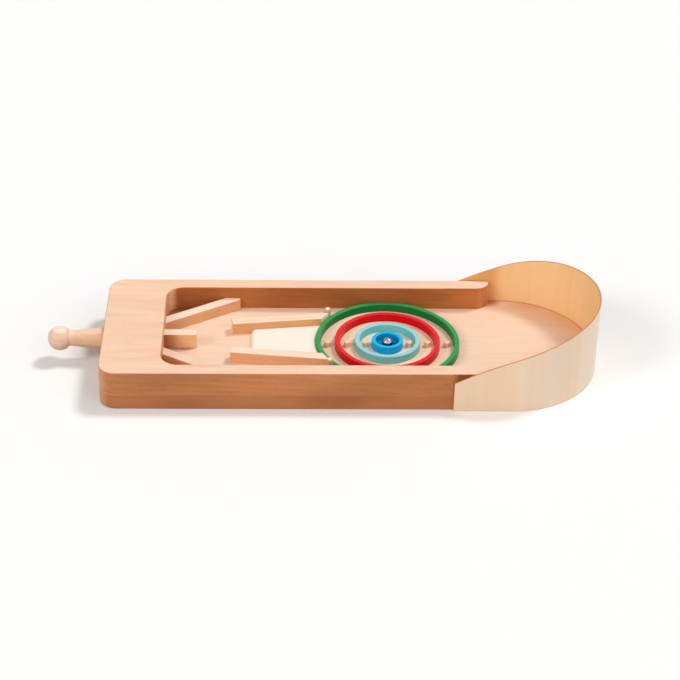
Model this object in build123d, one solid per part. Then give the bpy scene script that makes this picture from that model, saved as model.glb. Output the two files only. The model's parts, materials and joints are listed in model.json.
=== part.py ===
from build123d import *
import os
from math import cos, hypot, pi, radians, sin, sqrt, tan

# A wooden tabletop ball game. A spring plunger at the left shoots a steel ball along a lane
# between two guides, over a thin ramp and onto a target of plastic rings. A bent plywood wall
# round the right end sends it back. Millimetres, +Z up, +X from the handle towards the wall.
# The origin is under the middle of the whole object, on the surface that it stands on.
# Places along the board are given from its left face, and places across it from its middle line.

# Board: a base panel with a round right end, and a U-shaped frame on top of it
board_width = 131.0
base_thickness = 12.0
frame_thickness = 18.0
rail_width = 12.2
block_length = 43.5
end_centre = 294.5
rail_end_setback = 7.0
corner_round = 12.5
pocket_round = 13.0
rail_end_round_share = 0.9
frame_edge_round = 1.0
base_edge_round = 0.8
seam_ease = 0.25
overrun = 5.0

# Bent wall: its top edge is one arc, seen from the side
wall_thickness = 1.5
wall_straight = 42.5
wall_start_height = 23.0
wall_apex_height = 58.6
wall_mid_place_share = 0.43
wall_mid_rise_share = 0.565
wall_glue_gap = 0.1

# Target rings, from the outside in, and the cup in their middle, seated in shallow grooves
target_centre = 207.4
ring_rail_gap = 0.3
ring_radius_shares = (1.0, 0.73, 0.455)
ring_wall = 3.6
ring_height = 6.0
ring_edge_round = 0.7
ring_seat_depth = 1.0
ring_seat_gap = 0.15
cup_radius_share = 0.219
cup_wall = 3.0
cup_floor = 1.2
cup_hollow_round = 1.0

# Bars on the field: two guides beside the lane and two slanted deflectors
bar_width = 8.2
bar_height = 9.0
bar_edge_round = 0.5
guide_start = 92.7
guide_start_offset = 19.4
guide_angle = 6.9
guide_ring_gap = 0.5
deflector_mouth = 16.4
deflector_reach = 59.4
deflector_tip_width = 2.8
deflector_tip_round_share = 0.54

# Launch ramp: a thin plate between the guides with a rounded nose and round left corners
ramp_start = 107.0
ramp_thickness = 3.5
ramp_lip = 0.3
ramp_corner_round = 5.0
ramp_side_gap = 0.2
ramp_ring_gap = 0.3

# Pegs and hidden dowels
ring_peg_radius = 2.3
ring_peg_rise = 4.0
lane_peg_radius = 2.5
lane_peg_rise = 11.5
lane_peg_gap = 0.1
lane_peg_dome = 1.8
peg_depth = 7.0
peg_edge_round = 0.4
glue_gap = 0.05
hole_spare = 0.5
frame_dowel_radius = 3.0
frame_dowel_depth = 8.0
block_dowel_place_shares = (0.5, 0.45)
rail_dowel_place_shares = (0.08, 0.4, 0.65, 0.9)
bar_dowel_radius = 2.0
bar_dowel_depth = 5.0
guide_dowel_place_shares = (0.2, 0.65)
deflector_dowel_place_shares = (0.32, 0.62)

# Plunger: handle, rod, spring and striker on one axis
handle_length = 41.2
handle_gap = 0.3
knob_radius = 9.0
neck_radius = 5.6
flare_radius = 8.1
handle_edge_round = 0.8
chamber_wall = 7.0
rod_radius = 2.0
rod_running_gap = 0.06
rod_handle_depth = 22.0
rod_striker_depth = 18.0
striker_height = 11.2
striker_reach = 24.0
striker_engage = 8.0
striker_floor_gap = 0.4
striker_side_gap = 0.25
striker_end_round = 1.8
striker_edge_round = 0.4
pin_radius = 1.0
pin_setback = 4.0
pin_inset = 0.3
washer_side_gap = 0.45
washer_bore_gap = 0.2
washer_thickness = 0.8
spring_wire_radius = 0.25
spring_rod_gap = 0.8
spring_side_gap = 1.05
spring_end_gap = 0.05
spring_turns = 10
spring_coil_gap = 0.6

# Ball, at rest in the cup a little off its middle
ball_radius = 4.0
ball_gap = 0.1
ball_rest_share = 0.43

# Worked-out places
wall_inner = board_width / 2 + wall_glue_gap
wall_outer = wall_inner + wall_thickness
overall_length = handle_length + handle_gap + end_centre + wall_outer
left = handle_length + handle_gap - overall_length / 2
rail_reach = end_centre - rail_end_setback
pocket_left = left + block_length
pocket_half = board_width / 2 - rail_width
round_centre = left + end_centre
target = left + target_centre
field = base_thickness
outer_ring_radius = pocket_half - ring_rail_gap
ring_radii = [outer_ring_radius * share for share in ring_radius_shares]
cup_radius = outer_ring_radius * cup_radius_share
cup_bottom = field - ring_seat_depth + cup_floor
channel_half = rod_radius + spring_rod_gap + 2 * spring_wire_radius + spring_side_gap
striker_width = 2 * (channel_half - striker_side_gap)
striker_low = field + striker_floor_gap
striker_top = striker_low + striker_height
axis_height = striker_low + striker_height / 2
striker_back = pocket_left - striker_engage
chamber_left = left + chamber_wall
slope = radians(guide_angle)


def upright(x, y, z_low, z_high, radius):
    """A round pin or hole standing along Z."""
    rod = Cylinder(radius, z_high - z_low, align=(Align.CENTER, Align.CENTER, Align.MIN))
    return Pos(x, y, z_low) * rod


def along(x_low, x_high, radius):
    """A round pin or hole lying along the plunger's axis."""
    rod = Cylinder(radius, x_high - x_low, align=(Align.CENTER, Align.CENTER, Align.MIN))
    return Pos(x_low, 0, axis_height) * Rot(0, 90, 0) * rod


def middle_box(x_low, x_high, width, z_low, z_high):
    """A box centred on the board's middle line."""
    box = Box(x_high - x_low, width, z_high - z_low)
    return Pos((x_low + x_high) / 2, 0, (z_low + z_high) / 2) * box


def standing(outline, z_low, height):
    """A plan outline raised into a solid from a given height."""
    return extrude(Pos(0, 0, z_low) * outline, height)


def side_cut(points_face):
    """A side outline, drawn in X and Z, carried right across the board."""
    return extrude(Plane.XZ * points_face, board_width, both=True)


def top_rounded(solid, radius):
    """The solid with the edges of its top face rounded."""
    return fillet(solid.edges().group_by(Axis.Z)[-1], radius)


def mirrored(solid):
    """The same piece on the near side of the board."""
    return mirror(solid, about=Plane.XZ)


# Places of the pegs and dowels
def peg_places():
    """Middle of each lane between two rings, on both sides, from left to right."""
    insides = ring_radii[1:] + [cup_radius]
    lanes = [(outer - ring_wall + inner) / 2 for outer, inner in zip(ring_radii, insides)]
    return [(target + reach, 0) for reach in sorted([-lane for lane in lanes] + lanes)]


def lane_peg_place():
    """The peg beside the far guide, nested between the guide's outer face and the outer ring."""
    offset = bar_width / 2 + lane_peg_gap + lane_peg_radius
    reach = outer_ring_radius + lane_peg_gap + lane_peg_radius
    start_x = guide_start - target_centre - offset * sin(slope)
    start_y = guide_start_offset + offset * cos(slope)
    run = start_x * cos(slope) + start_y * sin(slope)
    travel = -run - sqrt(run**2 - start_x**2 - start_y**2 + reach**2)
    return target + start_x + travel * cos(slope), start_y + travel * sin(slope)


def guide_point(distance):
    """A point on the far guide's middle line, at a distance from its left end."""
    return left + guide_start + distance * cos(slope), guide_start_offset + distance * sin(slope)


def guide_length():
    """Length of the guide's middle line from its left end to the outer ring."""
    start_x = guide_start - target_centre
    run = start_x * cos(slope) + guide_start_offset * sin(slope)
    reach = outer_ring_radius + guide_ring_gap
    return -run - sqrt(run**2 - start_x**2 - guide_start_offset**2 + reach**2)


def deflector_corners():
    """Plan corners of the far deflector: its near face runs from the block to the rail."""
    rise = pocket_half - deflector_mouth
    length = hypot(deflector_reach, rise)
    near_left = (pocket_left, deflector_mouth)
    near_right = (pocket_left + deflector_reach, pocket_half)
    far_right = (pocket_left + deflector_reach - bar_width * length / rise, pocket_half)
    far_left = (pocket_left, deflector_mouth + bar_width * length / deflector_reach)
    return near_left, near_right, far_right, far_left


def deflector_point(share):
    """A point on the far deflector's middle line, as a share of its near face."""
    rise = pocket_half - deflector_mouth
    length = hypot(deflector_reach, rise)
    x = pocket_left + share * deflector_reach - bar_width / 2 * rise / length
    y = deflector_mouth + share * rise + bar_width / 2 * deflector_reach / length
    return x, y


def both_sides(places):
    return [(x, side * y) for x, y in places for side in (1, -1)]


def frame_dowel_places():
    block_share, width_share = block_dowel_place_shares
    block = [(left + block_share * block_length, width_share * board_width / 2)]
    rail_middle = (board_width - rail_width) / 2
    rails = [(left + share * rail_reach, rail_middle) for share in rail_dowel_place_shares]
    return both_sides(block + rails)


def guide_dowel_places():
    return [guide_point(share * guide_length()) for share in guide_dowel_place_shares]


def deflector_dowel_places():
    return [deflector_point(share) for share in deflector_dowel_place_shares]


def dowel_holes(places, z_low, z_high, radius):
    """Blind holes, a little wider and deeper than the dowels that they hold."""
    return [upright(x, y, z_low - hole_spare, z_high + hole_spare, radius + glue_gap) for x, y in places]


# Board
def make_base():
    straight = Pos(left + end_centre / 2, 0) * Rectangle(end_centre, board_width)
    straight = fillet(straight.vertices().group_by(Axis.X)[0], corner_round)
    outline = straight + Pos(round_centre, 0) * Circle(board_width / 2)
    base = standing(outline, 0, base_thickness)
    base = fillet(base.edges().group_by(Axis.Z)[0], base_edge_round)
    base = chamfer(base.edges().group_by(Axis.Z)[-1], seam_ease)
    seats = [Circle(cup_radius + ring_seat_gap)]
    for radius in ring_radii:
        seats.append(Circle(radius + ring_seat_gap) - Circle(radius - ring_wall - ring_seat_gap))
    for seat in seats:
        base -= standing(Pos(target, 0) * seat, field - ring_seat_depth, ring_seat_depth + overrun)
    bars = both_sides(guide_dowel_places() + deflector_dowel_places())
    base -= dowel_holes(bars, field - bar_dowel_depth, field, bar_dowel_radius)
    base -= dowel_holes(frame_dowel_places(), field - frame_dowel_depth, field, frame_dowel_radius)
    base -= dowel_holes(peg_places(), field - peg_depth, field, ring_peg_radius)
    base -= dowel_holes(both_sides([lane_peg_place()]), field - peg_depth, field, lane_peg_radius)
    return base


def make_frame():
    outer = Pos(left + rail_reach / 2, 0) * Rectangle(rail_reach, board_width)
    outer = fillet(outer.vertices().group_by(Axis.X)[0], corner_round)
    pocket = Pos(pocket_left + rail_reach / 2, 0) * Rectangle(rail_reach, 2 * pocket_half)
    pocket = fillet(pocket.vertices().group_by(Axis.X)[0], pocket_round)
    outline = outer - pocket
    rail_ends = sorted(outline.vertices().group_by(Axis.X)[-1], key=lambda corner: abs(corner.Y))
    outline = fillet(rail_ends[:2], rail_end_round_share * rail_width)
    frame = top_rounded(standing(outline, field, frame_thickness), frame_edge_round)
    frame = chamfer(frame.edges().group_by(Axis.Z)[0], seam_ease)
    channel_top = striker_top + striker_side_gap
    channel_end = pocket_left + overrun
    frame -= middle_box(chamber_left, channel_end, 2 * channel_half, field - overrun, channel_top)
    frame -= along(left - overrun, chamber_left + overrun, rod_radius + rod_running_gap)
    frame -= dowel_holes(frame_dowel_places(), field, field + frame_dowel_depth, frame_dowel_radius)
    return frame


def make_wall():
    wall_left = round_centre - wall_straight
    wall_right = round_centre + wall_outer

    def loop(radius):
        straight = Rectangle(wall_straight, 2 * radius, align=(Align.MIN, Align.CENTER))
        return Pos(wall_left, 0) * straight + Pos(round_centre, 0) * Circle(radius)

    left_gap = Pos(wall_left, 0) * Rectangle(2 * wall_straight, 2 * wall_inner)
    strip = loop(wall_outer) - loop(wall_inner) - left_gap
    length = wall_right - wall_left
    rise = wall_apex_height - wall_start_height
    middle = (
        wall_left + wall_mid_place_share * length,
        wall_start_height + wall_mid_rise_share * rise,
    )
    low = (wall_left, wall_start_height)
    high = (wall_right, wall_apex_height)
    feet = Polyline(high, (wall_right, 0), (wall_left, 0), low)
    side = make_face(ThreePointArc(low, middle, high) + feet)
    return standing(strip, 0, wall_apex_height + overrun) & side_cut(side)


# Bars, ramp, rings and pegs on the field
def make_guide():
    run = target_centre - guide_start
    bar = Rectangle(run, bar_width, align=(Align.MIN, Align.CENTER))
    outline = Pos(*guide_point(0)) * Rot(0, 0, guide_angle) * bar
    outline -= Pos(target, 0) * Circle(outer_ring_radius + guide_ring_gap)
    guide = top_rounded(standing(outline, field, bar_height), bar_edge_round)
    return guide - dowel_holes(guide_dowel_places(), field, field + bar_dowel_depth, bar_dowel_radius)


def make_deflector():
    outline = make_face(Polyline(*deflector_corners(), close=True))
    blunt = deflector_tip_width * deflector_reach / (pocket_half - deflector_mouth)
    tip_left = pocket_left + deflector_reach - blunt
    beyond = Rectangle(board_width, 2 * board_width, align=(Align.MIN, Align.CENTER))
    outline -= Pos(tip_left, 0) * beyond
    edge_round = min(bar_edge_round, deflector_tip_round_share * deflector_tip_width)
    bar = top_rounded(standing(outline, field, bar_height), edge_round)
    return bar - dowel_holes(deflector_dowel_places(), field, field + bar_dowel_depth, bar_dowel_radius)


def make_ramp():
    start = left + ramp_start

    def half_width(x):
        middle = guide_start_offset + (x - left - guide_start) * tan(slope)
        return middle - bar_width / 2 / cos(slope) - ramp_side_gap

    plan = make_face(Polyline(
        (start, half_width(start)), (target, half_width(target)),
        (target, -half_width(target)), (start, -half_width(start)), close=True,
    ))
    plan -= Pos(target, 0) * Circle(outer_ring_radius + ramp_ring_gap)
    plate = standing(plan, field, ramp_thickness)
    nose = plate.edges().group_by(Axis.Z)[-1].sort_by(Axis.X)[0]
    rounded = fillet(plan.vertices().group_by(Axis.X)[0], ramp_corner_round)
    return fillet(nose, ramp_thickness - ramp_lip) & standing(rounded, field, ramp_thickness)


def make_ring(radius):
    outline = Pos(target, 0) * (Circle(radius) - Circle(radius - ring_wall))
    ring = standing(outline, field - ring_seat_depth, ring_seat_depth + ring_height)
    return top_rounded(ring, ring_edge_round)


def make_cup():
    disc = Pos(target, 0) * Circle(cup_radius)
    cup = standing(disc, field - ring_seat_depth, ring_seat_depth + ring_height)
    hollow = standing(Pos(target, 0) * Circle(cup_radius - cup_wall), cup_bottom, ring_height + overrun)
    hollow = fillet(hollow.edges().group_by(Axis.Z)[0], cup_hollow_round)
    return top_rounded(cup - hollow, ring_edge_round)


def make_peg(place, rise, radius, top_round):
    return top_rounded(upright(*place, field - peg_depth, field + rise, radius), top_round)


def make_dowels(places, depth, radius):
    """Hidden dowels, half in the base and half in the piece above it."""
    return Compound([upright(x, y, field - depth, field + depth, radius) for x, y in places])


# Plunger
def make_handle():
    tip = left - handle_gap - handle_length
    face = left - handle_gap
    knob = tip + knob_radius
    junction = knob + sqrt(knob_radius**2 - neck_radius**2)
    half = make_face(
        ThreePointArc((tip, 0), (knob, knob_radius), (junction, neck_radius))
        + Polyline((junction, neck_radius), (face, flare_radius), (face, 0), (tip, 0))
    )
    axis_plane = Plane((0, 0, axis_height), x_dir=(1, 0, 0), z_dir=(0, -1, 0))
    handle = revolve(axis_plane * half, Axis((0, 0, axis_height), (1, 0, 0)))
    handle = fillet(handle.edges().group_by(Axis.X)[-1], handle_edge_round)
    return handle - along(face - rod_handle_depth - hole_spare, face + overrun, rod_radius + glue_gap)


def pin_hole(radius, length):
    pin = Cylinder(radius, length)
    return Pos(striker_back + pin_setback, 0, axis_height) * Rot(90, 0, 0) * pin


def make_rod():
    rod = along(left - handle_gap - rod_handle_depth, striker_back + rod_striker_depth, rod_radius)
    return rod - pin_hole(pin_radius + glue_gap, striker_width)


def make_striker():
    tip = pocket_left + striker_reach
    striker = middle_box(striker_back, tip, striker_width, striker_low, striker_top)
    nose = striker.edges().filter_by(Axis.Z).group_by(Axis.X)[-1]
    striker = top_rounded(fillet(nose, striker_end_round), striker_edge_round)
    bore_end = striker_back + rod_striker_depth + hole_spare
    striker -= along(striker_back - overrun, bore_end, rod_radius + glue_gap)
    return striker - pin_hole(pin_radius + glue_gap, 2 * striker_width)


def make_pin():
    return pin_hole(pin_radius, striker_width - 2 * pin_inset)


def make_washer():
    x_high = chamber_left + washer_thickness
    washer = along(chamber_left, x_high, channel_half - washer_side_gap)
    return washer - along(chamber_left - overrun, x_high + overrun, rod_radius + washer_bore_gap)


def coil_place(turn):
    """A point of the spring's wire: closely wound first and last turns, evenly spread between."""
    first = chamber_left + washer_thickness + spring_end_gap + spring_wire_radius
    last = striker_back - spring_end_gap - spring_wire_radius
    close_pitch = 2 * spring_wire_radius + spring_coil_gap
    open_pitch = (last - first - 2 * close_pitch) / (spring_turns - 2)
    start_turns = min(turn, 1)
    end_turns = max(turn - spring_turns + 1, 0)
    x = first + close_pitch * (start_turns + end_turns) + open_pitch * (turn - start_turns - end_turns)
    radius = rod_radius + spring_rod_gap + spring_wire_radius
    return Vector(x, radius * sin(2 * pi * turn), axis_height + radius * cos(2 * pi * turn))


def coil_direction(turn):
    step_share = 0.01
    return (coil_place(turn + step_share) - coil_place(turn - step_share)).normalized()


def biarc(start, start_way, end, end_way):
    """Two arcs that leave start one way, meet smoothly and arrive at end the other way."""
    chord = end - start
    ways = start_way + end_way
    spread = 2 * (1 - start_way.dot(end_way))
    lean = chord.dot(ways)
    reach = (sqrt(lean**2 + spread * chord.dot(chord)) - lean) / spread
    before = start + start_way * reach
    after = end - end_way * reach
    joint = (before + after) / 2
    return [TangentArc(start, joint, tangent=start_way), TangentArc(joint, end, tangent=after - before)]


def make_spring():
    quarters = [quarter / 4 for quarter in range(4 * spring_turns + 1)]
    edges = []
    for turn, following in zip(quarters, quarters[1:]):
        edges += biarc(
            coil_place(turn), coil_direction(turn), coil_place(following), coil_direction(following)
        )
    path = Wire(edges)
    section = Plane(coil_place(0), z_dir=coil_direction(0)) * Circle(spring_wire_radius)
    pitches = [(coil_place(turn + 1) - coil_place(turn)).length for turn in quarters[:-4]]
    least_gap = min(pitches) - 2 * spring_wire_radius
    print("spring: wire", round(path.length, 1), "least gap", round(least_gap, 2))
    return sweep(section, path=path)


def make_ball():
    offset = ball_rest_share * (cup_radius - cup_wall - ball_radius)
    return Pos(target, -offset, cup_bottom + ball_gap + ball_radius) * Sphere(ball_radius)


# Named pieces
guide = make_guide()
deflector = make_deflector()
bar_places = both_sides(guide_dowel_places() + deflector_dowel_places())
ring_names = ("outer_ring", "second_ring", "third_ring")
lane_peg = make_peg(lane_peg_place(), lane_peg_rise, lane_peg_radius, lane_peg_dome)

nodes = {
    "base_board": make_base(),
    "side_frame": make_frame(),
    "end_wall": make_wall(),
    "far_deflector": deflector,
    "near_deflector": mirrored(deflector),
    "far_guide": guide,
    "near_guide": mirrored(guide),
    "launch_ramp": make_ramp(),
    "centre_cup": make_cup(),
    "far_lane_peg": lane_peg,
    "near_lane_peg": mirrored(lane_peg),
    "frame_dowels": make_dowels(frame_dowel_places(), frame_dowel_depth, frame_dowel_radius),
    "bar_dowels": make_dowels(bar_places, bar_dowel_depth, bar_dowel_radius),
    "plunger_handle": make_handle(),
    "plunger_rod": make_rod(),
    "striker": make_striker(),
    "striker_pin": make_pin(),
    "spring_washer": make_washer(),
    "plunger_spring": make_spring(),
    "steel_ball": make_ball(),
}
for name, radius in zip(ring_names, ring_radii):
    nodes[name] = make_ring(radius)
for number, place in enumerate(peg_places(), 1):
    nodes[f"ring_peg_{number}"] = make_peg(place, ring_peg_rise, ring_peg_radius, peg_edge_round)

os.makedirs("parts", exist_ok=True)
for name, solid in nodes.items():
    export_step(solid, f"parts/{name}.step")
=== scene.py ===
import json

import bpy
import numpy as np
from mathutils import Matrix, Vector

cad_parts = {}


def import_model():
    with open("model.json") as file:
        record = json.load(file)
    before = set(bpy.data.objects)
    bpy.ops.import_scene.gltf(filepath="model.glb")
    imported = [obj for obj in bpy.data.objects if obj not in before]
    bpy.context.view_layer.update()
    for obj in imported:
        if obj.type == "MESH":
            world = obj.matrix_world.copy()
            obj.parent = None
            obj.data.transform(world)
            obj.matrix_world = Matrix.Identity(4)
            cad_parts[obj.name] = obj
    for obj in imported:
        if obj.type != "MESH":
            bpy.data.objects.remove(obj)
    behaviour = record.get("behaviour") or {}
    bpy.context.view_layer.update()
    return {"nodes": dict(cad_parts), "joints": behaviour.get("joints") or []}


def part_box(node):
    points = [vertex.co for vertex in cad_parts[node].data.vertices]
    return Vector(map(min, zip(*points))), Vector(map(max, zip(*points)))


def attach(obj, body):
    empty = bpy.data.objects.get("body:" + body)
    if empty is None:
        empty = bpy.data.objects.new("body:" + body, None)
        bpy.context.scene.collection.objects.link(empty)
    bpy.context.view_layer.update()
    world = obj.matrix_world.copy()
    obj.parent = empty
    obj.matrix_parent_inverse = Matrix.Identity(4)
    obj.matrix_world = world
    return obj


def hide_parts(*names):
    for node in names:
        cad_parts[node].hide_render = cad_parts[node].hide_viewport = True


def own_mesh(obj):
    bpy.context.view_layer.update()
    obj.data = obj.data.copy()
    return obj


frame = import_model()

MM = 0.001
NODES = frame["nodes"]


class Value:
    """A number, colour or vector that varies over a surface. Python operators on it add Math nodes."""

    def __init__(self, nodes, socket):
        self.nodes = nodes
        self.socket = socket

    def maths(self, operation, *terms):
        return self.nodes.node("ShaderNodeMath", {"operation": operation}, dict(enumerate(terms)))

    def __add__(self, other):
        return self.maths("ADD", self, other)

    def __radd__(self, other):
        return self.maths("ADD", other, self)

    def __sub__(self, other):
        return self.maths("SUBTRACT", self, other)

    def __rsub__(self, other):
        return self.maths("SUBTRACT", other, self)

    def __mul__(self, other):
        return self.maths("MULTIPLY", self, other)

    def __rmul__(self, other):
        return self.maths("MULTIPLY", other, self)

    def __truediv__(self, other):
        return self.maths("DIVIDE", self, other)

    def __pow__(self, other):
        return self.maths("POWER", self, other)

    def __abs__(self):
        return self.maths("ABSOLUTE", self)

    def wave(self):
        """Sine of the value."""
        return self.maths("SINE", self)

    def larger(self, other):
        return self.maths("MAXIMUM", self, other)

    def swing(self, share):
        """A share of how far the value, a noise from 0 to 1, is from its middle."""
        return (self - 0.5) * share

    def ramp(self, low, high):
        """0 below low, 1 above high, and a smooth step between them."""
        sockets = {0: self, 1: low, 2: high}
        return self.nodes.node("ShaderNodeMapRange", {"interpolation_type": "SMOOTHSTEP"}, sockets)


def span(across, along):
    """The length of a flat vector from its two parts."""
    return (across * across + along * along) ** 0.5


class Nodes:
    """A node tree, and short ways to add nodes to it."""

    def __init__(self, tree):
        self.tree = tree

    def node(self, kind, settings=None, sockets=None, output=0):
        """Adds a node: first its settings, then the values or links of its sockets."""
        made = self.tree.nodes.new(kind)
        for name, value in (settings or {}).items():
            setattr(made, name, value)
        for key, value in (sockets or {}).items():
            self.feed(made.inputs[key], value)
        return Value(self, made.outputs[output])

    def feed(self, socket, value):
        """Links a value to a socket, or sets a constant on it."""
        if isinstance(value, Value):
            self.tree.links.new(value.socket, socket)
        else:
            socket.default_value = value

    def parts(self, vector, axes):
        """The named parts of a vector, one value for each axis."""
        return [self.node("ShaderNodeSeparateXYZ", None, {0: vector}, output=axis) for axis in axes]

    def mixed(self, share, first, second, blend="MIX"):
        """The first colour with a share of the second one mixed into it."""
        settings = {"data_type": "RGBA", "blend_type": blend}
        return self.node("ShaderNodeMix", settings, {0: share, 6: first, 7: second}, output=2)

    def shaded(self, colour, shade):
        """A colour multiplied by another, part by part."""
        return self.mixed(1.0, colour, shade, "MULTIPLY")

    def stretched(self, vector, factors):
        """A vector multiplied by factors, part by part."""
        return self.node("ShaderNodeVectorMath", {"operation": "MULTIPLY"}, {0: vector, 1: factors})

    def seen(self):
        """1 where the camera or a mirror looks, 0 for light on its way between surfaces."""
        rays = ("Is Camera Ray", "Is Glossy Ray", "Is Transmission Ray")
        camera, mirror, glass = (self.node("ShaderNodeLightPath", output=name) for name in rays)
        return camera.larger(mirror).larger(glass)


class Finish(Nodes):
    """A material: the nodes that work out its colour, gloss and relief."""

    def __init__(self, name):
        self.material = bpy.data.materials.new(name)
        self.material.use_nodes = True
        super().__init__(self.material.node_tree)
        self.shader = self.tree.nodes["Principled BSDF"]
        self.place = self.node("ShaderNodeTexCoord", output="Object")
        self.facing = self.node("ShaderNodeNewGeometry", output="Normal")

    def moved(self, shift, turn):
        """Object coordinates from another origin and other axes, turned by angles in degrees."""
        sockets = {0: self.place, 1: shift, 2: tuple(np.radians(turn))}
        return self.node("ShaderNodeMapping", {"vector_type": "TEXTURE"}, sockets)

    def noise(self, vector, counts, detail=2.0, roughness=0.5):
        """A noise with that many features in a metre along each axis."""
        sockets = {"Vector": self.stretched(vector, counts), "Scale": 1.0}
        sockets.update({"Detail": detail, "Roughness": roughness})
        return self.node("ShaderNodeTexNoise", None, sockets)

    def relief(self, height, depth, strength):
        """A bumped normal from a height of 0 to 1 and the depth that it stands for."""
        sockets = {"Height": height, "Distance": depth, "Strength": strength}
        return self.node("ShaderNodeBump", None, sockets)

    def done(self, colour, roughness, normal, **constants):
        """The finished material. What is the same all over is set on the shader's own sockets."""
        self.feed(self.shader.inputs["Base Color"], colour)
        self.feed(self.shader.inputs["Roughness"], roughness)
        self.feed(self.shader.inputs["Normal"], normal)
        for name, value in constants.items():
            self.shader.inputs[name.replace("_", " ")].default_value = value
        return self.material


def tint(red, green, blue):
    """A colour from its screen values, 0 to 255, in linear light."""
    shown = np.array((red, green, blue)) / 255
    linear = np.where(shown <= 0.04045, shown / 12.92, ((shown + 0.055) / 1.055) ** 2.4)
    return *linear.tolist(), 1.0


def dress(*nodes, finish):
    """Gives CAD nodes a finish in place of the plain one that they came with."""
    for name in nodes:
        NODES[name].data.materials.clear()
        NODES[name].data.materials.append(finish)


# Wood
ALONG_X = (0, 0, 0)
UPRIGHT = (0, 90, 0)
HEART_ASIDE, HEART_BELOW, HEART_SLOPE = 20 * MM, 70 * MM, 0.06
RING_SPACING, RING_BEND = 4.2 * MM, 14 * MM
MEAN_RING, MEAN_GROWTH = 0.4, 0.25
SIDE_FIGURE = 1.5
RAY_RANGE, HUE_RANGE = (0.60, 0.72), (0.35, 0.65)
TOP_FACING, END_FACING = (0.74, 0.94), (0.8, 0.97)
PALE_GROWTH, DARK_GROWTH = (1.03, 1.06, 1.10, 1.0), (0.80, 0.65, 0.51, 1.0)
PINK_WOOD, YELLOW_WOOD = (1.01, 0.985, 0.96, 1.0), (0.985, 1.005, 1.02, 1.0)


def wood(name, tones, start, turn=ALONG_X, figure=1.0, stain_and_shade=None):
    """Beech with its grain along the turned X axis. Growth rings are bands of distance from a heart line
    that slopes gently under the piece, bent by a slow noise, so that they cross a face as long arches.
    Fibres and streaks are noises drawn out along the grain, and rays are short dark dashes in it. Upward
    faces, long sides and end grain have tones of their own; the sides' and ends' tones are partly the
    grain's own and partly painted shade and light for how much light they get. A function passed in may
    change them in places, with real marks and with painted light and shade. A slow noise moves the
    colour between pink and yellow."""
    face, side, end = tones
    f = Finish(name)
    coords = f.moved(start, turn)
    along, across, depth = f.parts(coords, "XYZ")
    nx, nz = f.parts(f.facing, "XZ")
    bend = f.noise(coords, (4, 16, 16), 3.0)
    reach = span(across + HEART_ASIDE, depth + HEART_BELOW + along * HEART_SLOPE) + bend * RING_BEND
    rings = ((reach * (2 * np.pi / RING_SPACING)).wave() * 0.5 + 0.5) ** 2
    fibres = f.noise(coords, (24, 700, 700), 4.0, 0.62)
    streaks = f.noise(coords, (30, 190, 190))
    clouds = f.noise(coords, (14, 40, 40))
    rays = f.noise(coords, (190, 1600, 1600), 1.0).ramp(*RAY_RANGE)
    upward = nz.ramp(*TOP_FACING)
    figured = (rings - MEAN_RING) * 0.10 + fibres.swing(0.7) + streaks.swing(0.5) + clouds.swing(0.6)
    contrast = (SIDE_FIGURE - upward * (SIDE_FIGURE - 1.0)) * figure
    growth = MEAN_GROWTH + (figured + rays * 0.25) * contrast
    if stain_and_shade:
        face, side = stain_and_shade(f, face, side)
    # Face, side and end tones: partly the grain's own, partly painted shade and light.
    tone = f.mixed(upward, f.mixed(abs(nx).ramp(*END_FACING), side, end), face)
    hue = f.noise(coords, (14, 60, 60)).ramp(*HUE_RANGE)
    tone = f.shaded(tone, f.mixed(hue, PINK_WOOD, YELLOW_WOOD))
    colour = f.shaded(tone, f.mixed(growth, PALE_GROWTH, DARK_GROWTH))
    roughness = 0.50 + fibres.swing(0.25) + rays * 0.08
    normal = f.relief(fibres * 0.7 - rays * 0.5, 0.1 * MM, 0.3)
    return f.done(colour, roughness, normal, Specular_IOR_Level=0.3)


# Places and angles on the board that the stains and the painted light and shade follow
POCKET_LEFT, LANE_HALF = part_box("far_deflector")[0].xy
BOARD_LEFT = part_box("base_board")[0].x
RAIL_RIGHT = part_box("side_frame")[1].x
BASE_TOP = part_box("side_frame")[0].z
WALL_LOW, WALL_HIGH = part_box("end_wall")
WALL_CENTRE = WALL_HIGH.x - WALL_HIGH.y
DEFLECTOR_ANGLE = 31.8
GUIDE_ANGLE = 6.9
BAR_WIDTH = 8.2 * MM


# Stains, painted light and painted shade on the frame and the base
PALE_PATCH, DARK_PATCH = (1.13, 1.13, 1.12, 1.0), (0.86, 0.84, 0.81, 1.0)
PATCH_RANGE = (0.3, 0.7)
CORNER_FACING, POCKET_FACING, RAIL_END_FACING = (0.35, 0.85), (0.4, 0.75), (0.1, 0.3)
INNER_SHADE_RANGE, WALL_START_RANGE = (42 * MM, 52 * MM), (-3 * MM, 4 * MM)
# The corner and pocket-side tones are painted light, the inner-side and rail-end tones painted shade;
# the covered-side tone darkens the sides behind the wall.
LIT_FRAME_CORNER, LIT_POCKET_SIDE = tint(218, 158, 119), tint(246, 185, 138)
DARK_COVERED_SIDE, SHADED_INNER_SIDE, SHADED_RAIL_END = tint(140, 70, 28), tint(184, 111, 57), tint(194, 124, 72)


def patchy(f, tone):
    """A tone with slow patches along the grain, some paler and some darker."""
    patches = f.noise(f.place, (13, 26, 26)).ramp(*PATCH_RANGE)
    return f.shaded(tone, f.mixed(patches, PALE_PATCH, DARK_PATCH))


def left_corner(f):
    """0 on the long sides, rising to 1 round the board's left corners."""
    nx, = f.parts(f.facing, "X")
    return (0.0 - nx).ramp(*CORNER_FACING)


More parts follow.
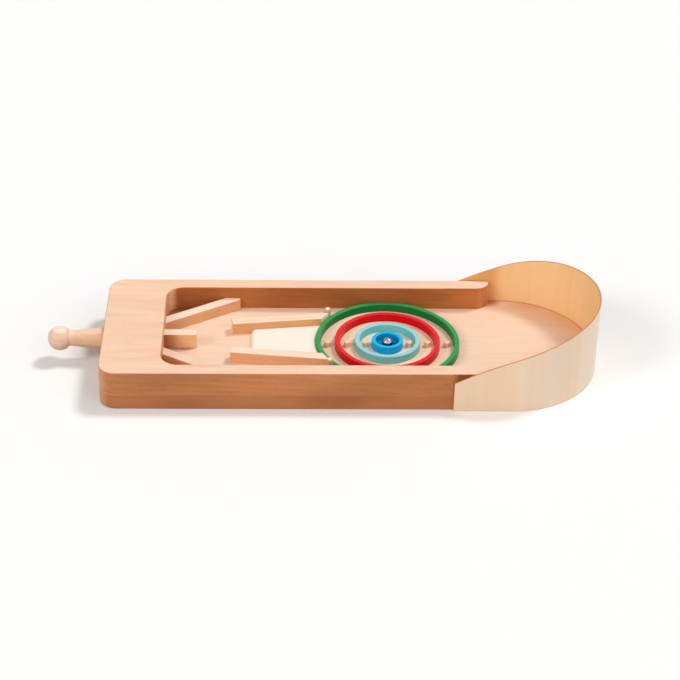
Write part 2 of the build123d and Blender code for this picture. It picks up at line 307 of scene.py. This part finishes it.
def frame_patches_light_and_shade(f, face, side):
    """Painted shade darkens the sides towards the middle line and the round ends of the rails, but not
    the pocket's round corners, whose sides facing right are paler with painted light. The outer sides
    are darker where the wall covers them. The left corners are paler, a painted highlight."""
    x, y = f.parts(f.place, "XY")
    nx, ny = f.parts(f.facing, "XY")
    # Painted shade on the sides facing the middle line and on the rails' ends; painted light on the
    # pocket's sides facing right and a painted highlight on the left corners.
    inward = (0.0 - y * ny).ramp(*INNER_SHADE_RANGE)
    past_wall_start = (x - WALL_LOW.x).ramp(*WALL_START_RANGE)
    rail_end = past_wall_start * nx.ramp(*RAIL_END_FACING)
    side = f.mixed(nx.ramp(*POCKET_FACING), side, LIT_POCKET_SIDE)
    side = f.mixed(left_corner(f), side, LIT_FRAME_CORNER)
    side = f.mixed(past_wall_start, side, DARK_COVERED_SIDE)
    shaded_side = f.mixed(rail_end, SHADED_INNER_SIDE, SHADED_RAIL_END)
    return face, patchy(f, f.mixed(inward.larger(rail_end), side, shaded_side))


POCKET_SHADE_EDGE, FOOT_REACH = (-2 * MM, 3 * MM), 18 * MM
STRIKER_SHADE_ASIDE, STRIKER_SHADE_AHEAD = (0.5 * MM, 4 * MM), (-8 * MM, 2 * MM)
FOOT_SHADE_WIDTH, FOOT_SHADE_START = (-26 * MM, -3 * MM), 20 * MM
RAIL_CORNER_REACH, RING_EDGE = (3 * MM, 13 * MM), (-3 * MM, -1 * MM)
BEVEL_FACING, BEVEL_LIGHT_REACH = (0.5, 0.65), (4 * MM, 40 * MM)
# The target tones are painted light; the wall-foot, rail-corner and pocket-floor tones are painted
# shade; the base-corner and bevel tones are painted highlights.
LIT_TARGET_FIELD, LIT_TARGET_HEART = tint(255, 226, 196), tint(255, 238, 222)
SHADED_WALL_FOOT, SHADED_RAIL_CORNER, SHADED_POCKET_FLOOR = tint(236, 180, 132), tint(206, 146, 92), tint(160, 104, 62)
LIT_BASE_CORNER, LIT_BEVEL = tint(212, 154, 116), tint(240, 190, 152)


def pocket_shade(x, y):
    """Painted shade: 1 behind the deflectors, by distance from their faces that are turned to the lane,
    and less along the foot of the block and under the striker."""
    angle = np.radians(DEFLECTOR_ANGLE)
    behind = (abs(y) - LANE_HALF) * np.cos(angle) - (x - POCKET_LEFT) * np.sin(angle)
    corner = behind.ramp(*(BAR_WIDTH + edge for edge in POCKET_SHADE_EDGE))
    foot = 1.0 - (x - POCKET_LEFT).ramp(0.0, FOOT_REACH)
    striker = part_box("striker")[1]
    in_shade = 1.0 - (abs(y) - striker.y).ramp(*STRIKER_SHADE_ASIDE)
    in_shade = in_shade * (1.0 - (x - striker.x).ramp(*STRIKER_SHADE_AHEAD))
    return corner.larger(foot * 0.55).larger(in_shade * 0.5)


def inside_ring(x, y, ring):
    """1 on the floor inside a ring, with a soft edge under its wall."""
    low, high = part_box(ring)
    return 1.0 - (span(x - (low.x + high.x) / 2, y) - high.y).ramp(*RING_EDGE)


def wall_foot(x, y):
    """Rises towards the foot of the wall, round the board's right end."""
    right = (x - WALL_CENTRE).larger(0.0)
    return (span(right, y) - WALL_HIGH.y).ramp(*FOOT_SHADE_WIDTH) * right.ramp(0.0, FOOT_SHADE_START)


def base_patches_light_and_shade(f, face, side):
    """Painted shade darkens the pocket's corners, the foot of the block, the floor under the striker,
    the foot of the wall, warmed there like light bounced off the wall, and its corners with the rails.
    Between the rings the wood is paler, and palest round the cup, with painted light. The bevel along
    the seam and the left corners get a painted highlight."""
    x, y = f.parts(f.place, "XY")
    nz, = f.parts(f.facing, "Z")
    # Painted light between the rings; painted shade along the wall's foot, in its corners with the rails
    # and in the pocket.
    face = f.mixed(inside_ring(x, y, "outer_ring"), face, LIT_TARGET_FIELD)
    face = f.mixed(inside_ring(x, y, "third_ring"), face, LIT_TARGET_HEART)
    face = f.mixed(wall_foot(x, y) * 0.75, face, SHADED_WALL_FOOT)
    from_corner = span(x - RAIL_RIGHT, abs(y) - WALL_HIGH.y)
    face = f.mixed(1.0 - from_corner.ramp(*RAIL_CORNER_REACH), face, SHADED_RAIL_CORNER)
    face = f.mixed(pocket_shade(x, y), face, SHADED_POCKET_FLOOR)
    # Painted highlight on the seam's bevel and the left corners.
    bevel_light = 0.6 - (x - BOARD_LEFT).ramp(*BEVEL_LIGHT_REACH) * 0.4
    side = f.mixed(left_corner(f), patchy(f, side), LIT_BASE_CORNER)
    return face, f.mixed(nz.ramp(*BEVEL_FACING) * bevel_light, side, LIT_BEVEL)


# Stains and painted shade on the bars and the handle
CUT_FACING, BLOCK_REACH, KNOB_EDGE = (0.4, 0.6), 16 * MM, (-4 * MM, 4 * MM)
# The striker's darker tone is painted shade.
CUT_END, SHADED_STRIKER = tint(255, 240, 218), tint(176, 116, 72)
KNOB_FACE, KNOB_SIDE = tint(255, 229, 206), tint(246, 204, 177)


def guide_stain(f, face, side):
    """Its slanted right end is freshly cut and pale."""
    nx, = f.parts(f.facing, "X")
    return face, f.mixed(nx.ramp(*CUT_FACING), side, CUT_END)


def striker_painted_shade(f, face, side):
    """Its sides are darker near the block, painted shade."""
    x, = f.parts(f.place, "X")
    in_shade = 1.0 - (x - POCKET_LEFT).ramp(0.0, BLOCK_REACH)
    return face, f.mixed(in_shade, side, SHADED_STRIKER)


def handle_stain(f, face, side):
    """Its knob, as long as it is thick, is worn pale by hands."""
    low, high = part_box("plunger_handle")
    x, = f.parts(f.place, "X")
    knob = 1.0 - (x - low.x - (high.z - low.z)).ramp(*KNOB_EDGE)
    return f.mixed(knob, face, KNOB_FACE), f.mixed(knob, side, KNOB_SIDE)


# Tones of each wooden piece: upward faces, long sides and end grain. The sides' and ends' tones are
# partly the wood's own and partly painted shade and light.
FRAME_TONES = tint(249, 209, 179), tint(199, 129, 80), tint(222, 166, 132)
BASE_TONES = tint(252, 219, 193), tint(185, 117, 72), tint(210, 154, 120)
RAMP_TONES = tint(255, 247, 232), tint(255, 247, 230), tint(255, 247, 230)
HANDLE_TONES = tint(242, 208, 176), tint(238, 194, 158), tint(252, 222, 198)
RING_PEG_TONES = tint(246, 208, 178), tint(250, 194, 160), tint(250, 194, 160)
LANE_PEG_TONES = tint(253, 234, 212), tint(216, 178, 138), tint(216, 178, 138)
BAR_FACE, BAR_END = tint(254, 228, 204), tint(252, 218, 186)
BAR_START, BAR_FIGURE = (0.1, 0.02, 0.01), 0.8
# Each bar's side tone differs partly as painted shade and light, set against the light that bar gets.
BARS = {
    "far_guide": (BAR_FACE, tint(230, 169, 116), GUIDE_ANGLE, guide_stain),
    "near_guide": (BAR_FACE, tint(244, 189, 144), -GUIDE_ANGLE, guide_stain),
    "far_deflector": (BAR_FACE, tint(230, 177, 130), DEFLECTOR_ANGLE, None),
    "near_deflector": (tint(252, 218, 190), tint(240, 182, 136), -DEFLECTOR_ANGLE, None),
    "striker": (BAR_FACE, tint(240, 194, 148), 0.0, striker_painted_shade),
}

frame_beech = wood("frame_beech", FRAME_TONES, (0.02, 0.01, 0.0), stain_and_shade=frame_patches_light_and_shade)
base_beech = wood("base_beech", BASE_TONES, (0.3, 0.04, 0.05), figure=0.6, stain_and_shade=base_patches_light_and_shade)
ramp_maple = wood("ramp_maple", RAMP_TONES, (0.5, 0.0, 0.0), figure=0.3)
handle_beech = wood("handle_beech", HANDLE_TONES, (0.4, 0.01, 0.02), figure=0.7, stain_and_shade=handle_stain)
ring_peg_beech = wood("ring_peg_beech", RING_PEG_TONES, (0.0, 0.0, 0.0), UPRIGHT)
lane_peg_beech = wood("lane_peg_beech", LANE_PEG_TONES, (0.1, 0.0, 0.0), UPRIGHT, figure=0.6)
dress("side_frame", finish=frame_beech)
dress("base_board", finish=base_beech)
dress("launch_ramp", finish=ramp_maple)
dress("plunger_handle", finish=handle_beech)
dress(*(name for name in NODES if name.startswith("ring_peg")), finish=ring_peg_beech)
dress("far_lane_peg", "near_lane_peg", "frame_dowels", "bar_dowels", finish=lane_peg_beech)
for bar, (bar_face, bar_side, bar_turn, bar_stain_and_shade) in BARS.items():
    bar_tones = bar_face, bar_side, BAR_END
    bar_beech = wood(bar + "_beech", bar_tones, BAR_START, (0, 0, bar_turn), BAR_FIGURE, bar_stain_and_shade)
    dress(bar, finish=bar_beech)


# Bent plywood wall
WALL_THICKNESS = 1.5 * MM
# The inside tone is partly its own and partly painted light through the veneer; the round tone is
# painted light; the tone beside the rails is painted shade.
WALL_OUTSIDE, LIT_WALL_ROUND, WALL_INSIDE = tint(254, 221, 187), tint(255, 231, 207), tint(255, 212, 154)
WALL_EDGE, WALL_CORE, SHADED_WALL_BY_RAIL = tint(234, 164, 112), tint(198, 120, 78), tint(232, 174, 107)
ROUND_REACH, RAIL_SHADE_REACH = (20 * MM, 100 * MM), (0.0, 12 * MM)
INNER_FOOT, OUTER_FOOT = (0.2 * MM, 0.8 * MM), (0.2 * MM, 0.7 * MM)
OUTWARD_RANGE, EDGE_FACING, CORE_RANGE = (-0.01, 0.01), (0.15, 0.5), (0.14, 0.2)


def plywood(name):
    """Three plies with upright grain, the outer face paler than the inner one, and palest round the end
    with painted light. The inner face's orange is partly its own and partly painted light shining
    through the thin veneer. The cut edge shows the plies as bands of distance from the round end's
    centre, with a darker core. A brown glue line runs round both feet of the wall, and painted shade
    darkens the inner face beside the rails' ends."""
    f = Finish(name)
    fibres = f.noise(f.place, (500, 500, 12), 4.0, 0.62)
    streaks = f.noise(f.place, (170, 170, 5))
    clouds = f.noise(f.place, (26, 26, 22))
    x, y, z = f.parts(f.place, "XYZ")
    nx, ny, nz = f.parts(f.facing, "XYZ")
    right = (x - WALL_CENTRE).larger(0.0)
    outward = (right * nx + y * ny).ramp(*OUTWARD_RANGE)
    ply = (span(right, y) - (WALL_HIGH.y - WALL_THICKNESS)) / WALL_THICKNESS
    core = 1.0 - abs(ply - 0.5).ramp(*CORE_RANGE)
    # Painted light: the outer face paler round the end. Painted shade: the inner face darker beside the
    # rails' ends.
    outside = f.mixed((x - WALL_LOW.x).ramp(*ROUND_REACH), WALL_OUTSIDE, LIT_WALL_ROUND)
    inside = f.mixed((x - RAIL_RIGHT).ramp(*RAIL_SHADE_REACH), SHADED_WALL_BY_RAIL, WALL_INSIDE)
    tone = f.mixed(outward, inside, outside)
    tone = f.mixed(nz.ramp(*EDGE_FACING), tone, f.mixed(core, WALL_EDGE, WALL_CORE))
    inner_foot = (1.0 - abs(z - BASE_TOP).ramp(*INNER_FOOT)) * (1.0 - outward)
    outer_foot = (1.0 - (z - WALL_LOW.z).ramp(*OUTER_FOOT)) * outward
    tone = f.mixed(inner_foot * 0.6 + outer_foot * 0.5, tone, WALL_CORE)
    hue = f.noise(f.place, (60, 60, 6)).ramp(*HUE_RANGE)
    tone = f.shaded(tone, f.mixed(hue, PINK_WOOD, YELLOW_WOOD))
    growth = 0.22 + fibres.swing(0.16) + streaks.swing(0.24) + clouds.swing(0.3)
    colour = f.shaded(tone, f.mixed(growth, PALE_GROWTH, DARK_GROWTH))
    roughness = 0.52 + fibres.swing(0.2)
    return f.done(colour, roughness, f.relief(fibres, 0.06 * MM, 0.2), Specular_IOR_Level=0.25)


dress("end_wall", finish=plywood("bent_plywood"))


# Plastic rings
CUP_WALL = 3.0 * MM
# The well tone inside the cup is painted shade.
SHADED_CUP_WELL = tint(0, 152, 204)
CUP_EDGE, CUP_DEPTH = (-0.1 * MM, 0.4 * MM), (-4.5 * MM, -0.7 * MM)
RIM_FACING = (0.1, 0.8)
PALE_FLOW, DARK_FLOW = (1.05, 1.05, 1.05, 1.0), (0.94, 0.94, 0.94, 1.0)


def plastic(name, top, side, stain_and_shade=None):
    """Satin moulded plastic: paler on its rims and upward faces, as painted light, with faint flow
    clouds and a fine mould grain. A function passed in may change its colour in places."""
    f = Finish(name)
    clouds = f.noise(f.place, (70, 70, 70))
    grain = f.noise(f.place, (1800, 1800, 1800))
    nz, = f.parts(f.facing, "Z")
    # Upward faces take the paler top tone as painted light, the sides the darker tone as painted shade.
    tone = f.mixed(nz.ramp(*RIM_FACING), side, top)
    if stain_and_shade:
        tone = stain_and_shade(f, tone)
    colour = f.shaded(tone, f.mixed(clouds, PALE_FLOW, DARK_FLOW))
    roughness = 0.27 + grain.swing(0.14) + clouds.swing(0.1)
    return f.done(colour, roughness, f.relief(grain, 0.02 * MM, 0.2), Specular_IOR_Level=0.13)


def cup_painted_shade(f, tone):
    """Painted shade deepens the colour inside the cup, from its rim down to its floor."""
    low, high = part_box("centre_cup")
    middle = (low + high) / 2
    x, y, z = f.parts(f.place, "XYZ")
    reach = span(x - middle.x, y - middle.y)
    inside = 1.0 - (reach - (high.y - CUP_WALL)).ramp(*CUP_EDGE)
    sunk = 1.0 - (z - high.z).ramp(*CUP_DEPTH)
    return f.mixed(inside * sunk, tone, SHADED_CUP_WELL)


# Each ring's paler top tone and darker side tone are painted light and shade.
dress("outer_ring", finish=plastic("green_plastic", tint(48, 158, 84), tint(18, 118, 52)))
dress("second_ring", finish=plastic("red_plastic", tint(236, 30, 44), tint(214, 0, 16)))
dress("third_ring", finish=plastic("light_blue_plastic", tint(156, 214, 222), tint(120, 200, 196)))
dress("centre_cup", finish=plastic("blue_plastic", tint(30, 186, 230), tint(0, 162, 216), cup_painted_shade))


# Steel
BALL_TONES = tint(158, 154, 158), tint(136, 132, 136)
DRAWN_TONES = tint(196, 193, 194), tint(180, 177, 178)


def steel(name, tones, roughness, drawn):
    """Bare steel: fine marks drawn out along the axis and a slow variation of its colour."""
    f = Finish(name)
    marks = f.noise(f.place, drawn, 3.0, 0.6)
    clouds = f.noise(f.place, (300, 300, 300))
    colour = f.mixed(clouds, *tones)
    normal = f.relief(marks, 0.01 * MM, 0.15)
    return f.done(colour, roughness + marks.swing(0.1), normal, Metallic=1.0)


polished_steel = steel("polished_steel", BALL_TONES, 0.12, (700, 700, 700))
drawn_steel = steel("drawn_steel", DRAWN_TONES, 0.32, (60, 2500, 2500))
dress("steel_ball", finish=polished_steel)
dress("plunger_rod", "striker_pin", "spring_washer", finish=drawn_steel)


# Spring
def coil_spring(finish, wire=0.25 * MM, turns=10, closed=1.1 * MM, turn_steps=24, wire_sides=8):
    """A round wire wound about the plunger's axis, in place of the rigid spring. Its middle line is at
    one distance from the axis, turns evenly and moves on along it by an even pitch, with closer first
    and last turns. A small circle is carried along that line, across it. The share of its length that
    the coil would keep with the plunger pulled is worked out, but nothing uses it."""
    low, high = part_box("plunger_spring")
    radius = (high.y - low.y) / 2 - wire
    length = high.x - low.x - 2 * wire
    turn = np.linspace(0.0, turns, turns * turn_steps + 1)
    along = np.interp(turn, (0, 1, turns - 1, turns), (0, closed, length - closed, length))
    angle = 2 * np.pi * turn
    zero = np.zeros_like(turn)
    outward = np.stack((zero, np.sin(angle), np.cos(angle)), axis=1)
    axis = np.stack((low.x + wire + along, zero, zero + (low.z + high.z) / 2), axis=1)
    middle = axis + radius * outward
    forward = np.gradient(middle, axis=0)
    forward /= np.linalg.norm(forward, axis=1, keepdims=True)
    sideways = np.cross(forward, outward)
    sideways /= np.linalg.norm(sideways, axis=1, keepdims=True)
    around = np.linspace(0.0, 2 * np.pi, wire_sides, endpoint=False)[None, :, None]
    circle = np.cos(around) * outward[:, None] + np.sin(around) * sideways[:, None]
    points = (middle[:, None] + wire * circle).reshape(-1, 3)
    index = np.arange(len(points)).reshape(len(turn), wire_sides)
    after = np.roll(index, -1, axis=1)
    skin = np.stack((index[:-1], after[:-1], after[1:], index[1:]), axis=2).reshape(-1, 4)
    ends = [index[0, ::-1].tolist(), index[-1].tolist()]
    mesh = bpy.data.meshes.new("coil_spring")
    mesh.from_pydata(points.tolist(), [], skin.tolist() + ends)
    mesh.shade_smooth()
    mesh.materials.append(finish)
    spring = bpy.data.objects.new("coil_spring", mesh)
    bpy.context.scene.collection.objects.link(spring)
    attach(spring, "board")
    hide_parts("plunger_spring")
    pull = next(joint for joint in frame["joints"] if joint["name"] == "plunger_pull")
    keep = 1.0 - pull["range_m"][1] / (high.x - low.x)
    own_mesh(spring)


coil_spring(drawn_steel)


# Floor, light and camera
FLOOR_SEEN, FLOOR_BOUNCE = tint(253, 253, 252), tint(190, 189, 187)
PALE_SPECK, DARK_SPECK = (1.0, 1.0, 1.0, 1.0), (0.985, 0.985, 0.985, 1.0)
SKY = tint(255, 253, 251)
LAMPS = {
    "key": ((0.85, 0.5, 1.5), 1.39, 14),
    "left": ((-0.9, -0.5, 0.75), 0.7, 20),
    "fill": ((-0.7, -1.3, 0.9), 0.82, 70),
    "side": ((1.35, -1.05, 0.6), 0.95, 70),
}


def floor(half_width=6.0):
    """A flat pale sheet under the board. It is nearly white to look at and a mid grey as a source of
    bounced light, so that undersides keep their shade."""
    corners = np.array([(-1, -1, 0), (1, -1, 0), (1, 1, 0), (-1, 1, 0)]) * half_width
    mesh = bpy.data.meshes.new("floor")
    mesh.from_pydata(corners.tolist(), [], [(0, 1, 2, 3)])
    sheet = bpy.data.objects.new("floor", mesh)
    bpy.context.scene.collection.objects.link(sheet)
    f = Finish("pale_floor")
    grain = f.noise(f.place, (40, 40, 40))
    tone = f.mixed(f.seen(), FLOOR_BOUNCE, FLOOR_SEEN)
    colour = f.shaded(tone, f.mixed(grain, PALE_SPECK, DARK_SPECK))
    mesh.materials.append(f.done(colour, 0.7, f.relief(grain, 0.02 * MM, 0.1), Specular_IOR_Level=0.1))


def lamp(name, place, strength, softness):
    """A distant lamp that shines from a place towards the origin, with a soft edge in degrees."""
    data = bpy.data.lights.new(name, "SUN")
    data.energy = strength
    data.angle = np.radians(softness)
    made = bpy.data.objects.new(name, data)
    made.location = place
    made.rotation_euler = (-Vector(place)).to_track_quat("-Z", "Y").to_euler()
    bpy.context.scene.collection.objects.link(made)


def world(strength=0.28):
    """Even light from all round, with a white background behind the floor's edge."""
    made = bpy.data.worlds.new("studio")
    bpy.context.scene.world = made
    made.use_nodes = True
    nodes = Nodes(made.node_tree)
    sky = made.node_tree.nodes["Background"]
    level = nodes.seen() * (1.0 - strength) + strength
    nodes.feed(sky.inputs["Color"], SKY)
    nodes.feed(sky.inputs["Strength"], level)


def camera():
    """The photograph's viewpoint: turned by yaw about the upright axis, pitch down and a slight roll."""
    focal_px, image_px, sensor = 1895.07, 680, 36.0
    eye = Vector((-32.834, -1179.059, 760.583)) * MM
    yaw, pitch, roll = -0.038391, 0.562219, 0.024378
    back = Vector((np.sin(yaw) * np.cos(pitch), -np.cos(yaw) * np.cos(pitch), np.sin(pitch)))
    right = Vector((np.cos(yaw), np.sin(yaw), 0.0))
    up = back.cross(right)
    right, up = np.cos(roll) * right + np.sin(roll) * up, np.cos(roll) * up - np.sin(roll) * right
    data = bpy.data.cameras.new("camera")
    data.sensor_width = sensor
    data.lens = focal_px / image_px * sensor
    made = bpy.data.objects.new("camera", data)
    made.matrix_world = Matrix.Translation(eye) @ Matrix((right, up, back)).transposed().to_4x4()
    bpy.context.scene.collection.objects.link(made)
    bpy.context.scene.camera = made


floor()
for lamp_name, lamp_settings in LAMPS.items():
    lamp(lamp_name, *lamp_settings)
world()
camera()
bpy.context.scene.view_settings.view_transform = "Standard"
